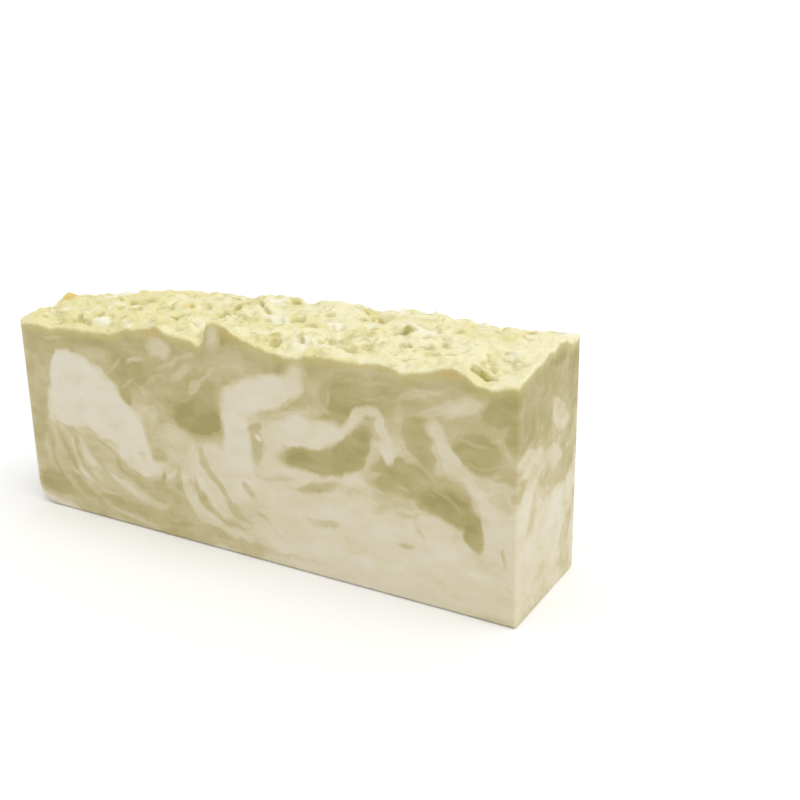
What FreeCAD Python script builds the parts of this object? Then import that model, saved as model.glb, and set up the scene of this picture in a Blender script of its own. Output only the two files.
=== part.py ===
import FreeCAD, Part
import math
import os
import random

from FreeCAD import Vector

# A loaf of cold-process soap: poured into a long box mould, its top broken up into crumbly flakes
# before it set, and cut off square at one end. X runs along the loaf from the moulded end to the
# cut end, Y from the front wall to the back wall. The origin is the middle of the resting face.

# Driving sizes in millimetres

loaf_length = 234.0
loaf_width = 52.0
rim_level = 83.0           # mean height of the front wall
mould_edge_radius = 6.0    # upright edges and bottom edge of the moulded end
corner_foot_radius = 10.0  # bottom corners of the moulded end, seen across the corner
wall_foot_radius = 1.6     # long bottom edges
end_lean = 2.4             # how far the moulded end leans in, from its foot to rim_level

# Mound of the top over the walls

crest_rise = 7.6           # crest over the front rim
crest_from_front = 37.0    # distance of the crest from the front wall
back_rim_rise = 5.0        # back rim over the front rim
slump_length = 58.0        # length over which the mound grows from the moulded end
slump_share = 0.10         # part of the mound that is left at the moulded end itself
fall_length = 44.0         # length over which the mound falls again towards the cut end
fall_share = 0.70          # part of the mound that is left at the cut end itself

# Flakes of the broken top

flake_pitch = 9.0          # distance between the middles of neighbouring flakes
flake_length_low = 6.0     # half length of the smallest flake
flake_length_high = 12.0   # half length of the largest flake
flake_width_low = 3.6      # half width of the smallest flake
flake_width_high = 6.4     # half width of the largest flake
flake_height_low = 0.3     # lowest flake over the mound
flake_height_high = 3.0    # highest flake over the mound
flake_tilt = 0.20          # steepest lean of a flake's own top
flake_turn_spread = 62.0   # flakes turn up to this many degrees off the loaf's length
flake_fullness = 5.0       # power of the flake's outline: higher is flatter with steeper sides
flake_stray = 0.45         # how far a flake strays from its place, as a share of the pitch
flake_seed = 41
rim_calm_width = 5.0       # strip along the front wall and moulded end where no flake stands
rim_echo = 0.55            # part of the rim's outline that carries on just behind that strip
facet_pitch = 2.6          # distance between the corners of the broken top's facets
facet_shake = 0.30         # how far a corner strays from its place, as a share of the pitch
facet_seed = 7

# The front rim against rim_level, as distance from the moulded end and height
front_rim = [
    (0.0, -9.0), (3.0, -5.0), (7.5, -1.8), (28.0, -1.8), (40.0, -1.2), (55.0, -0.7),
    (62.0, -1.5), (68.0, 2.4), (77.0, 2.8), (83.0, 5.4), (90.0, 1.6), (99.0, 2.0),
    (106.8, -1.4), (108.2, 9.2), (115.5, 9.8), (124.0, 5.1), (133.0, 2.4), (143.0, -0.8),
    (157.0, 1.1), (165.0, 2.0), (170.0, 0.4), (183.0, 2.4), (192.0, 0.2), (202.0, 2.0),
    (211.0, 4.2), (215.5, 2.4), (219.5, -2.0), (228.0, -2.7), (230.0, -0.6), (234.0, 0.9),
]

# Lumps that stand out of the random flakes: distance from the moulded end, distance from the
# front wall, turn in degrees, half length, half width and height over the mound
marked_flakes = [
    (9.0, 29.0, 8.0, 7.5, 5.5, 5.2),
    (36.0, 36.0, 12.0, 11.0, 6.0, 2.0),
    (64.0, 30.0, -20.0, 11.0, 6.0, 3.2),
    (86.0, 36.0, 15.0, 12.0, 7.0, 3.6),
    (109.0, 26.0, -25.0, 13.0, 7.0, 4.0),
    (112.0, 42.0, 10.0, 12.0, 7.0, 5.0),
    (143.0, 38.0, -10.0, 14.0, 8.0, 5.0),
    (176.0, 38.0, 5.0, 14.0, 7.5, 4.8),
    (210.0, 14.0, 25.0, 9.0, 5.0, 2.6),
    (219.0, 36.0, -15.0, 9.0, 6.5, 3.0),
]

# Pits and slits between the flakes

pit_flare = 6.0            # height of a pit's mouth over its own level, clear of the flakes beside it
pit_point = 1.2            # how far a pit's ends run out, as a share of its half width at the mouth
stray_pit_pitch = 15.0     # distance between the middles of neighbouring stray pits
stray_pit_stray = 0.35     # how far one strays from its place, as a share of the pitch
stray_pit_margin = 6.0     # no stray pit starts nearer to a wall than this
stray_pit_length_low = 1.0
stray_pit_length_high = 5.0
stray_pit_width_low = 0.9  # half width
stray_pit_width_high = 1.4
stray_pit_depth_low = 1.4
stray_pit_depth_high = 2.6
stray_pit_turn = 40.0      # stray pits turn up to this many degrees off the loaf's length
stray_pit_seed = 4

# Pits in their own places: distances of both ends from the moulded end and the front wall, half
# width and depth
marked_pits = [
    (50.0, 14.0, 52.0, 14.0, 1.5, 2.2), (59.0, 15.0, 61.0, 15.0, 1.5, 2.2),
    (58.0, 7.0, 60.0, 7.0, 1.4, 2.0), (28.0, 7.0, 38.0, 6.0, 1.1, 1.8),
    (38.0, 6.0, 48.0, 4.0, 1.1, 2.0), (81.5, 13.0, 84.0, 15.0, 1.9, 3.2),
    (96.0, 23.0, 105.0, 21.5, 0.9, 2.2), (105.0, 21.0, 114.5, 19.0, 1.0, 2.4),
    (112.0, 17.0, 114.0, 17.0, 1.4, 2.2), (91.0, 4.0, 93.0, 4.0, 1.4, 2.0),
    (104.0, 37.0, 113.0, 29.0, 1.2, 2.0), (113.0, 29.0, 122.0, 22.5, 1.2, 2.0),
    (132.0, 22.0, 137.0, 22.0, 1.6, 2.4), (139.0, 19.0, 149.5, 17.0, 0.9, 2.2),
    (136.0, 5.0, 138.0, 5.0, 1.8, 3.0), (128.5, 13.0, 129.5, 13.0, 1.2, 2.2),
    (163.0, 5.5, 171.0, 6.0, 1.5, 2.0), (168.0, 19.0, 175.0, 21.0, 1.0, 2.6),
    (175.0, 21.0, 182.0, 23.0, 1.0, 2.4), (184.0, 14.5, 187.0, 14.5, 1.5, 2.2),
    (185.0, 3.5, 186.0, 8.0, 0.9, 2.0), (188.0, 6.0, 192.5, 4.0, 0.9, 2.0),
    (215.0, 6.0, 224.0, 5.0, 1.6, 3.8), (215.0, 16.0, 222.0, 13.0, 1.0, 2.2),
    (222.0, 13.0, 229.0, 10.0, 1.0, 2.2), (215.0, 11.5, 226.0, 8.5, 0.9, 2.0),
    (37.0, 17.0, 43.0, 14.0, 0.9, 1.6), (153.0, 12.0, 161.0, 11.0, 0.9, 1.8),
    (195.0, 18.0, 205.0, 15.0, 1.0, 2.0), (201.0, 9.0, 209.0, 10.0, 0.9, 1.8),
]

half_length = loaf_length / 2.0
half_width = loaf_width / 2.0


def dice_for(seed, row, column):
    """The same throws for the same place, however long or wide the loaf is."""
    return random.Random("{} {} {}".format(seed, row, column))


def smooth_step(value):
    share = min(max(value, 0.0), 1.0)
    return share * share * (3.0 - 2.0 * share)


def rim_offset(from_end):
    """Height of the front rim over rim_level, at a distance from the moulded end."""
    if from_end <= front_rim[0][0]:
        return front_rim[0][1]
    for (x_low, z_low), (x_high, z_high) in zip(front_rim, front_rim[1:]):
        if from_end <= x_high:
            return z_low + (z_high - z_low) * smooth_step((from_end - x_low) / (x_high - x_low))
    return front_rim[-1][1]


def mound_height(from_end, from_front):
    """Height of the mounded top without its flakes."""
    if from_front < crest_from_front:
        climb = math.sin(0.5 * math.pi * max(from_front, 0.0) / crest_from_front)
        rise = crest_rise * climb
    else:
        past_crest = (from_front - crest_from_front) / (loaf_width - crest_from_front)
        rise = crest_rise + (back_rim_rise - crest_rise) * smooth_step(past_crest)
    grown = slump_share + (1.0 - slump_share) * smooth_step(from_end / slump_length)
    kept = fall_share + (1.0 - fall_share) * smooth_step((loaf_length - from_end) / fall_length)
    return rim_level + rise * grown * kept


def make_flakes():
    """Every flake as its middle, turn, half sizes, height and lean."""
    flakes = []
    columns = int(math.ceil(loaf_length / flake_pitch)) + 1
    rows = int(math.ceil(loaf_width / flake_pitch)) + 1
    for row in range(rows):
        for column in range(columns):
            dice = dice_for(flake_seed, row, column)
            flakes.append({
                "x": (column + dice.uniform(-flake_stray, flake_stray)) * flake_pitch,
                "y": (row + dice.uniform(-flake_stray, flake_stray)) * flake_pitch,
                "turn": math.radians(dice.uniform(-flake_turn_spread, flake_turn_spread)),
                "length": dice.uniform(flake_length_low, flake_length_high),
                "width": dice.uniform(flake_width_low, flake_width_high),
                "height": dice.uniform(flake_height_low, flake_height_high),
                "lean": dice.uniform(-flake_tilt, flake_tilt),
            })
    for x, y, turn, length, width, height in marked_flakes:
        flakes.append({
            "x": x, "y": y, "turn": math.radians(turn),
            "length": length, "width": width, "height": height, "lean": 0.0,
        })
    return flakes


def flake_rise(flakes, from_end, from_front):
    """Height that the highest flake adds at one place."""
    highest = 0.0
    for flake in flakes:
        dx = from_end - flake["x"]
        dy = from_front - flake["y"]
        along = dx * math.cos(flake["turn"]) + dy * math.sin(flake["turn"])
        across = dy * math.cos(flake["turn"]) - dx * math.sin(flake["turn"])
        reach = math.hypot(along / flake["length"], across / flake["width"])
        if reach < 1.0:
            swell = 1.0 - reach ** flake_fullness
            highest = max(highest, (flake["height"] + flake["lean"] * across) * swell)
    return highest


def top_height(flakes, from_end, from_front):
    """Height of the broken top: the rim's own outline at the front wall, flakes behind it."""
    at_rim = 1.0 - smooth_step(from_front / rim_calm_width)
    behind_rim = 1.0 - smooth_step((from_front - rim_calm_width) / rim_calm_width)
    height = mound_height(from_end, from_front)
    height += rim_offset(from_end) * max(at_rim, rim_echo * behind_rim)
    off_walls = smooth_step(min(from_end, from_front) / rim_calm_width)
    return height + flake_rise(flakes, from_end, from_front) * off_walls


def make_stray_pits():
    """Small pits all over the top, one to a cell, in the form of marked_pits."""
    pits = []
    for row in range(int(math.ceil(loaf_width / stray_pit_pitch))):
        for column in range(int(math.ceil(loaf_length / stray_pit_pitch))):
            dice = dice_for(stray_pit_seed, row, column)
            stray = (dice.uniform(-stray_pit_stray, stray_pit_stray) for _ in range(2))
            from_end, from_front = (
                (cell + 0.5 + share) * stray_pit_pitch for cell, share in zip((column, row), stray))
            length = dice.uniform(stray_pit_length_low, stray_pit_length_high)
            turn = math.radians(dice.uniform(-stray_pit_turn, stray_pit_turn))
            width = dice.uniform(stray_pit_width_low, stray_pit_width_high)
            depth = dice.uniform(stray_pit_depth_low, stray_pit_depth_high)
            along_room = min(from_end, loaf_length - from_end - length)
            if min(along_room, from_front, loaf_width - from_front) > stray_pit_margin:
                pits.append((
                    from_end, from_front, from_end + length * math.cos(turn),
                    from_front + length * math.sin(turn), width, depth))
    return pits


def make_pit(flakes, pit):
    """A boat-shaped hollow of flat faces: a keel at its depth and a mouth over the top."""
    x1, y1, x2, y2, width, depth = pit
    level = top_height(flakes, 0.5 * (x1 + x2), 0.5 * (y1 + y2))
    mouth_width = width * (depth + pit_flare) / depth
    bow = Vector(x1 - half_length, y1 - half_width, level + pit_flare)
    stern = Vector(x2 - half_length, y2 - half_width, level + pit_flare)
    along = (stern - bow).normalize()
    across = Vector(-along.y, along.x, 0.0) * mouth_width
    bow_tip = bow - along * pit_point * mouth_width
    stern_tip = stern + along * pit_point * mouth_width
    down = Vector(0.0, 0.0, depth + pit_flare)
    bow_keel, stern_keel = bow - down, stern - down
    faces = [make_facet(
        bow_tip, bow - across, stern - across, stern_tip, stern + across, bow + across)]
    for side in (across, across * -1.0):
        faces.append(make_facet(bow + side, stern + side, stern_keel, bow_keel))
        faces.append(make_facet(bow_tip, bow + side, bow_keel))
        faces.append(make_facet(stern_tip, stern + side, stern_keel))
    pit_body = Part.Solid(Part.makeShell(faces))
    if pit_body.Volume < 0.0:
        pit_body.reverse()
    return pit_body


def make_top_points():
    """Rows of points on the broken top, shaken off a square grid so that no two facets match."""
    flakes = make_flakes()
    columns = int(math.ceil(loaf_length / facet_pitch)) + 2
    rows = int(math.ceil(loaf_width / facet_pitch)) + 2
    points = []
    for row in range(rows + 1):
        line = []
        for column in range(columns + 1):
            dice = dice_for(facet_seed, row, column)
            from_end = (column - 1 + dice.uniform(-facet_shake, facet_shake)) * facet_pitch
            from_front = (row - 1 + dice.uniform(-facet_shake, facet_shake)) * facet_pitch
            height = top_height(flakes, from_end, from_front)
            line.append(Vector(from_end - half_length, from_front - half_width, height))
        points.append(line)
    return points


def make_facet(*corners):
    return Part.Face(Part.makePolygon(list(corners) + [corners[0]]))


def make_top_body():
    """A body under the broken top, with flat facets on it, wider and longer than the walls."""
    points = make_top_points()
    faces = []
    for front, back in zip(points, points[1:]):
        for left in range(len(front) - 1):
            a, b = front[left], front[left + 1]
            c, d = back[left + 1], back[left]
            if (c - a).Length < (d - b).Length:
                faces += [make_facet(a, b, c), make_facet(a, c, d)]
            else:
                faces += [make_facet(a, b, d), make_facet(b, c, d)]
    rim = list(points[0])
    rim += [line[-1] for line in points[1:]]
    rim += list(reversed(points[-1][:-1]))
    rim += [line[0] for line in reversed(points[1:-1])]
    floor = [Vector(point.x, point.y, -facet_pitch) for point in rim]
    for index in range(len(rim)):
        faces.append(make_facet(floor[index - 1], floor[index], rim[index], rim[index - 1]))
    faces.append(make_facet(*reversed(floor)))
    return Part.Solid(Part.makeShell(faces))


def is_upright(edge):
    return edge.BoundBox.ZLength > 0.5 * rim_level


def is_at_foot(edge):
    return edge.BoundBox.ZMax < 0.5 * rim_level


def make_end_block(height):
    """A block whose moulded end leans in and is rounded down both sides and along its foot."""
    lean = math.atan2(end_lean, rim_level)
    foot_x = -half_length - mould_edge_radius * ((1.0 + math.sin(lean)) / math.cos(lean) - 1.0)
    top_x = foot_x + height * math.tan(lean)
    outline = [
        Vector(foot_x, -half_width, 0.0),
        Vector(half_length, -half_width, 0.0),
        Vector(half_length, -half_width, height),
        Vector(top_x, -half_width, height),
    ]
    block = make_facet(*outline).extrude(Vector(0.0, loaf_width, 0.0))
    rounded = []
    for edge in block.Edges:
        at_moulded_end = edge.CenterOfMass.x < top_x
        if at_moulded_end and (is_upright(edge) or is_at_foot(edge)):
            rounded.append(edge)
    return block.makeFillet(mould_edge_radius, rounded)


def make_corner_block(side):
    """A block turned to face one corner of the moulded end, with its foot rounded away."""
    reach = 2.0 * loaf_length
    block = Part.makeBox(reach, reach, reach, Vector(0.0, -0.5 * reach, 0.0))
    foot = [edge for edge in block.Edges if edge.CenterOfMass.Length < 0.01 * reach]
    block = block.makeFillet(corner_foot_radius, foot)
    block.rotate(Vector(0.0, 0.0, 0.0), Vector(0.0, 0.0, 1.0), 45.0 * side)
    over_corner = mould_edge_radius * (1.0 - math.sqrt(0.5))
    block.translate(Vector(over_corner - half_length, side * (over_corner - half_width), 0.0))
    return block


def make_wall_block(height):
    """A longer block whose long bottom edges are eased."""
    block = Part.makeBox(
        2.0 * loaf_length, loaf_width, height, Vector(-loaf_length, -half_width, 0.0))
    eased = []
    for edge in block.Edges:
        if is_at_foot(edge) and edge.BoundBox.XLength > 0.5 * loaf_length:
            eased.append(edge)
    return block.makeFillet(wall_foot_radius, eased)


def make_soap_loaf():
    block_height = 2.0 * rim_level
    block = make_end_block(block_height).common(make_wall_block(block_height))
    for side in (1.0, -1.0):
        block = block.common(make_corner_block(side))
    flakes = make_flakes()
    pits = [make_pit(flakes, pit) for pit in marked_pits + make_stray_pits()]
    loaf = block.common(make_top_body()).cut(pits)
    return max(loaf.Solids, key=lambda solid: solid.Volume)


os.makedirs("parts", exist_ok=True)
make_soap_loaf().exportStep("parts/soap_loaf.step")
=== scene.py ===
import math
import random

import bpy
from mathutils import Matrix, Vector
from mathutils.bvhtree import BVHTree


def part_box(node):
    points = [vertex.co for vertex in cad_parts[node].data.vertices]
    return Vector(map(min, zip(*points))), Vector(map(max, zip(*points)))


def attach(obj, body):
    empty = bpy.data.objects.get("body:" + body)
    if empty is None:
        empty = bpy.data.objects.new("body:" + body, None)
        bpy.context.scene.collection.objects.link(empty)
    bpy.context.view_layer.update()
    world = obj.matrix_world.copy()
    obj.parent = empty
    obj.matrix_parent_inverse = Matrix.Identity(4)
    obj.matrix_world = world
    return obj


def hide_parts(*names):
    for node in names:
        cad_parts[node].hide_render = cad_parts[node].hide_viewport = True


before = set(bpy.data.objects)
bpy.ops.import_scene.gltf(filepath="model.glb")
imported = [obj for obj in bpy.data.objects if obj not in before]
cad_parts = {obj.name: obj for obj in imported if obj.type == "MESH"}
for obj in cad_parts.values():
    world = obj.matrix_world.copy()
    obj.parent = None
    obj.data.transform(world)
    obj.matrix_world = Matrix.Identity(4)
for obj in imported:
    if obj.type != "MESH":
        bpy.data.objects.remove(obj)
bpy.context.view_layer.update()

mm = 0.001
toMm = 1000.0            # the soap's shader works in mm

# The marbled soap loaf. X runs from the moulded end to the cut end, Y from the front wall to the
# back wall, and everything below is placed from the walls of the frame's own box.
loafLow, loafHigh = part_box("soap_loaf")
frontWall = loafLow.y
backWall = loafHigh.y
mouldedEnd = loafLow.x
cutEnd = loafHigh.x


# helpers for modelling by hand

def onlyThis(obj):
    for other in bpy.context.selected_objects:
        other.select_set(False)
    obj.select_set(True)
    bpy.context.view_layer.objects.active = obj


def applyAll(obj):
    onlyThis(obj)
    for modifier in list(obj.modifiers):
        bpy.ops.object.modifier_apply(modifier=modifier.name)


def applyPlace(obj):
    onlyThis(obj)
    bpy.ops.object.transform_apply(location=True, rotation=True, scale=True)


def joinAll(objects, name):
    onlyThis(objects[0])
    for obj in objects:
        obj.select_set(True)
    bpy.ops.object.join()
    joined = bpy.context.view_layer.objects.active
    joined.name = name
    return joined


def copyOf(obj, name):
    twin = obj.copy()
    twin.data = obj.data.copy()
    twin.name = name
    bpy.context.collection.objects.link(twin)
    return twin


def removeObject(obj):
    mesh = obj.data
    bpy.data.objects.remove(obj)
    bpy.data.meshes.remove(mesh)


def triangleCount(obj):
    return sum(len(polygon.vertices) - 2 for polygon in obj.data.polygons)


# the poured block, from the frame's own solid

blockSize = {
    "topStarts": 0.074,      # above this the block counts as its broken top
    "sink": 1.5 * mm,        # how far the top goes down to make room for the flakes
    "sinkFrom": 1.0 * mm,    # distance from a wall where the sinking starts
    "sinkFull": 5.5 * mm,    # distance from a wall where it is all there
    "lean": 0.029,           # how far the moulded end leans in, for each step up
    "corner": 6.0 * mm,      # radius of its upright edges
}


# how far a point of the top is from the nearest wall
def wallDistance(point):
    fromEnd = point.x - mouldedEnd - blockSize["lean"] * point.z
    fromSide = min(point.y - frontWall, backWall - point.y)
    corner = blockSize["corner"]
    if fromEnd < corner and fromSide < corner:
        return corner - math.hypot(corner - fromEnd, corner - fromSide)
    return min(fromEnd, fromSide, cutEnd - point.x)


# a copy of the solid's own mesh, in one piece
def makePouredBlock():
    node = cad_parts["soap_loaf"]
    block = copyOf(node, "pouredBlock")
    block.parent = None
    block.matrix_world = Matrix.Identity(4)
    block.modifiers.clear()
    onlyThis(block)
    bpy.ops.object.mode_set(mode="EDIT")
    bpy.ops.mesh.select_all(action="SELECT")
    bpy.ops.mesh.remove_doubles(threshold=1e-6)
    bpy.ops.object.mode_set(mode="OBJECT")
    print("poured block:", len(block.data.vertices), "points")
    return block


# lowers the block's top, so that the flakes laid on it end up at its height
def sinkTop(block):
    size = blockSize
    for vertex in block.data.vertices:
        if vertex.co.z < size["topStarts"]:
            continue
        share = (wallDistance(vertex.co) - size["sinkFrom"]) / (size["sinkFull"] - size["sinkFrom"])
        share = min(max(share, 0.0), 1.0)
        vertex.co.z -= size["sink"] * share


# flakes of the broken top: a few chips are modelled, then copied all over it

chipSize = {
    "sides": (7, 11),
    "reach": (0.66, 1.0),
    "lift": (-0.28, 0.12),
    "inset": 0.25,
    "rise": (0.0, 0.16),               # of the face inside the inset
    "bevel": 0.11,
}

flakeSize = {
    "chips": 10,
    "sink": 0.35 * mm,                 # how far a flake's middle lies in the block's own top
    "thick": 3.4 * mm,
    "roll": 5.0,                       # degrees off the lie of the block's own top
    "spread": 1.12,                    # flakes reach a little over their own places
    "ring": 2.6 * mm,                  # reach of one feel for the top's level
    "feel": 0.6,                       # how far out on a flake its lie is felt for
    "sinkAtWall": 2.0,                 # times as deep
    "endMargins": (2.0 * mm, 0.5 * mm),
    "wallMargin": 1.0 * mm,
    # where the block's own flakes lie, in mm and degrees
    "pitch": 9.0,
    "stray": 0.45,
    "turn": 62.0,
    "length": (6.0, 12.0),
    "width": (3.6, 6.4),
    "seed": 41,
    "lumps": [
        (9, 29, 8, 7.5, 5.5), (36, 36, 12, 11, 6), (64, 30, -20, 11, 6),
        (86, 36, 15, 12, 7), (109, 26, -25, 13, 7), (112, 42, 10, 12, 7),
        (143, 38, -10, 14, 8), (176, 38, 5, 14, 7.5), (210, 14, 25, 9, 5),
        (219, 36, -15, 9, 6.5),
    ],
}

crumbSize = {
    "count": 420,
    "length": (1.5 * mm, 4.2 * mm),
    "width": (1.0 * mm, 2.4 * mm),
    "thick": (1.6 * mm, 2.6 * mm),
    "proud": (0.1 * mm, 1.1 * mm),
    "tilt": 14.0,
    "turn": 1.2,
    "endMargins": (7.0 * mm, 3.0 * mm),
    "wallMargin": 3.5 * mm,
    "seed": 12,
}

# where the top is felt for, as distances from the moulded end and from the other walls
feelMargins = (6.5 * mm, 0.2 * mm)


# one flat chip about 2 across and 1 thick, with an uneven outline and soft edges
def makeChip(number, dice):
    size = chipSize
    sides = dice.randint(*size["sides"])
    bpy.ops.mesh.primitive_cylinder_add(vertices=sides, radius=1.0, depth=1.0, location=(0, 0, 0))
    chip = bpy.context.active_object
    chip.name = "chip{}".format(number)
    reach = [dice.uniform(*size["reach"]) for _ in range(sides)]
    lift = [dice.uniform(*size["lift"]) for _ in range(sides)]
    for index, vertex in enumerate(chip.data.vertices):
        share = reach[(index // 2) % sides]
        vertex.co.x *= share
        vertex.co.y *= share
        if vertex.co.z > 0:
            vertex.co.z += lift[(index // 2) % sides]
    onlyThis(chip)
    bpy.ops.object.mode_set(mode="EDIT")
    bpy.ops.mesh.select_mode(type="FACE")
    bpy.ops.mesh.select_all(action="DESELECT")
    bpy.ops.object.mode_set(mode="OBJECT")
    for polygon in chip.data.polygons:
        polygon.select = polygon.normal.z > 0.6
    bpy.ops.object.mode_set(mode="EDIT")
    bpy.ops.mesh.inset(thickness=size["inset"], depth=dice.uniform(*size["rise"]))
    bpy.ops.mesh.select_all(action="SELECT")
    bpy.ops.mesh.bevel(offset=size["bevel"], segments=2, affect="EDGES")
    bpy.ops.object.mode_set(mode="OBJECT")
    return chip


# height and normal of the block's top at one place
def topAt(tree, x, y):
    place, normal, _, _ = tree.ray_cast(Vector((x, y, 1.0)), Vector((0, 0, -1)))
    return place, normal


def placeChip(chip, name, place, halfLength, halfWidth, thick, turn, tiltX, tiltY):
    flake = copyOf(chip, name)
    flake.scale = (halfLength, halfWidth, thick)
    flake.rotation_euler = (tiltX, tiltY, turn)
    flake.location = place
    return flake


# the place on the top nearest to this one that is clear of its walls
def onTop(x, y):
    fromEnd, fromWall = feelMargins
    return (
        min(max(x, mouldedEnd + fromEnd), cutEnd - fromWall),
        min(max(y, frontWall + fromWall), backWall - fromWall))


# middle one of the heights at a place and round it, so that a pit doesn't count
def levelAt(tree, x, y):
    ring = flakeSize["ring"]
    heights = [topAt(tree, x, y)[0].z]
    for step in range(8):
        turn = math.radians(45 * step)
        nearX, nearY = onTop(x + ring * math.cos(turn), y + ring * math.sin(turn))
        heights.append(topAt(tree, nearX, nearY)[0].z)
    return sorted(heights)[len(heights) // 2]


# height of the top at the middle of a flake and its lie, from five places on it
def lieOf(tree, x, y, turn, halfLength, halfWidth):
    along = Vector((math.cos(turn), math.sin(turn), 0))
    across = Vector((-math.sin(turn), math.cos(turn), 0))
    feel = flakeSize["feel"]
    heights = []
    for part, side in ((0, 0), (feel, 0), (-feel, 0), (0, feel), (0, -feel)):
        spot = Vector((x, y, 0)) + along * part * halfLength + across * side * halfWidth
        spot.x, spot.y = onTop(spot.x, spot.y)
        heights.append(levelAt(tree, spot.x, spot.y))
    pitch = math.atan2(heights[1] - heights[2], 2 * feel * halfLength)
    roll = math.atan2(heights[3] - heights[4], 2 * feel * halfWidth)
    return sum(heights) / len(heights), pitch, roll


# middle, turn, half length and half width of every large flake, in mm and degrees
def flakePlaces():
    size = flakeSize
    length, width = (cutEnd - mouldedEnd) / mm, (backWall - frontWall) / mm
    places = []
    for row in range(math.ceil(width / size["pitch"]) + 1):
        for column in range(math.ceil(length / size["pitch"]) + 1):
            dice = random.Random("{} {} {}".format(size["seed"], row, column))
            places.append((
                (column + dice.uniform(-size["stray"], size["stray"])) * size["pitch"],
                (row + dice.uniform(-size["stray"], size["stray"])) * size["pitch"],
                dice.uniform(-size["turn"], size["turn"]),
                dice.uniform(*size["length"]), dice.uniform(*size["width"])))
    return places + size["lumps"]


def makeFlakes(tree):
    size = flakeSize
    dice = random.Random(size["seed"])
    chips = [makeChip(number, dice) for number in range(size["chips"])]
    flakes = []
    for fromEnd, fromFront, turn, halfLength, halfWidth in flakePlaces():
        x = min(max(mouldedEnd + fromEnd * mm, mouldedEnd + size["endMargins"][0]), cutEnd - size["endMargins"][1])
        y = min(max(frontWall + fromFront * mm, frontWall + size["wallMargin"]), backWall - size["wallMargin"])
        halfLength *= mm * size["spread"]
        halfWidth *= mm * size["spread"]
        turn = math.radians(turn)
        level, pitch, roll = lieOf(tree, x, y, turn, halfLength, halfWidth)
        extra = math.radians(dice.uniform(-1, 1) * size["roll"])
        chip = dice.choice(chips)
        reachX = abs(halfLength * math.cos(turn)) + abs(halfWidth * math.sin(turn))
        reachY = abs(halfLength * math.sin(turn)) + abs(halfWidth * math.cos(turn))
        atWall = min(x - mouldedEnd, cutEnd - x) < reachX or min(y - frontWall, backWall - y) < reachY
        sink = size["sink"] * (size["sinkAtWall"] if atWall else 1.0)
        place = Vector((x, y, level - sink - 0.5 * size["thick"]))
        name = "flake{}".format(len(flakes))
        flakes.append(placeChip(
            chip, name, place, halfLength, halfWidth, size["thick"], turn, roll + extra, -pitch))
    print("flakes:", len(flakes))

    size = crumbSize
    dice = random.Random(size["seed"])
    for number in range(size["count"]):
        x = dice.uniform(mouldedEnd + size["endMargins"][0], cutEnd - size["endMargins"][1])
        y = dice.uniform(frontWall + size["wallMargin"], backWall - size["wallMargin"])
        thick = dice.uniform(*size["thick"])
        level, normal = topAt(tree, x, y)
        place = Vector((x, y, level.z + dice.uniform(*size["proud"]) - 0.5 * thick))
        tiltX, tiltY = (math.radians(dice.uniform(-1, 1) * size["tilt"]) for _ in range(2))
        flakes.append(placeChip(
            dice.choice(chips), "crumb{}".format(number), place, dice.uniform(*size["length"]),
            dice.uniform(*size["width"]), thick, dice.uniform(-size["turn"], size["turn"]),
            tiltX - normal.y, tiltY + normal.x))
    for chip in chips:
        removeObject(chip)
    joined = joinAll(flakes, "flakes")
    applyPlace(joined)
    print("flakes and crumbs:", len(flakes), "joined,", triangleCount(joined), "triangles")
    return joined


# pits and slits between the flakes, cut out of the skin

gougeSize = {
    # both ends as distances from the moulded end and the front wall, half width and depth, in mm
    "cuts": [
        (50, 14, 52, 14, 1.5, 2.2), (59, 15, 61, 15, 1.5, 2.2),
        (58, 7, 60, 7, 1.4, 2), (28, 7, 38, 6, 1.1, 1.8),
        (38, 6, 48, 4, 1.1, 2), (81.5, 13, 84, 15, 1.9, 3.2),
        (96, 23, 105, 21.5, 0.9, 2.2), (105, 21, 114.5, 19, 1, 2.4),
        (112, 17, 114, 17, 1.4, 2.2), (91, 4, 93, 4, 1.4, 2),
        (104, 37, 113, 29, 1.2, 2), (113, 29, 122, 22.5, 1.2, 2),
        (132, 22, 137, 22, 1.6, 2.4), (139, 19, 149.5, 17, 0.9, 2.2),
        (136, 5, 138, 5, 1.8, 3), (128.5, 13, 129.5, 13, 1.2, 2.2),
        (163, 5.5, 171, 6, 1.5, 2), (168, 19, 175, 21, 1, 2.6),
        (175, 21, 182, 23, 1, 2.4), (184, 14.5, 187, 14.5, 1.5, 2.2),
        (185, 3.5, 186, 8, 0.9, 2), (188, 6, 192.5, 4, 0.9, 2),
        (215, 6, 224, 5, 1.6, 3.8), (215, 16, 222, 13, 1, 2.2),
        (222, 13, 229, 10, 1, 2.2), (215, 11.5, 226, 8.5, 0.9, 2),
        (37, 17, 43, 14, 0.9, 1.6), (153, 12, 161, 11, 0.9, 1.8),
        (195, 18, 205, 15, 1, 2), (201, 9, 209, 10, 0.9, 1.8),
    ],
    # stray ones, one to a cell, where the block has its own
    "pitch": 15.0,
    "stray": 0.35,
    "margin": 6.0,
    "length": (1.0, 5.0),
    "width": (0.9, 1.4),
    "depth": (1.4, 2.6),
    "turn": 40.0,
    "seed": 4,
    "over": 1.0 * mm,        # height of a gouge's middle over the top
    "overShare": 1.5,        # how much of that its half height makes up for
}


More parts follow.
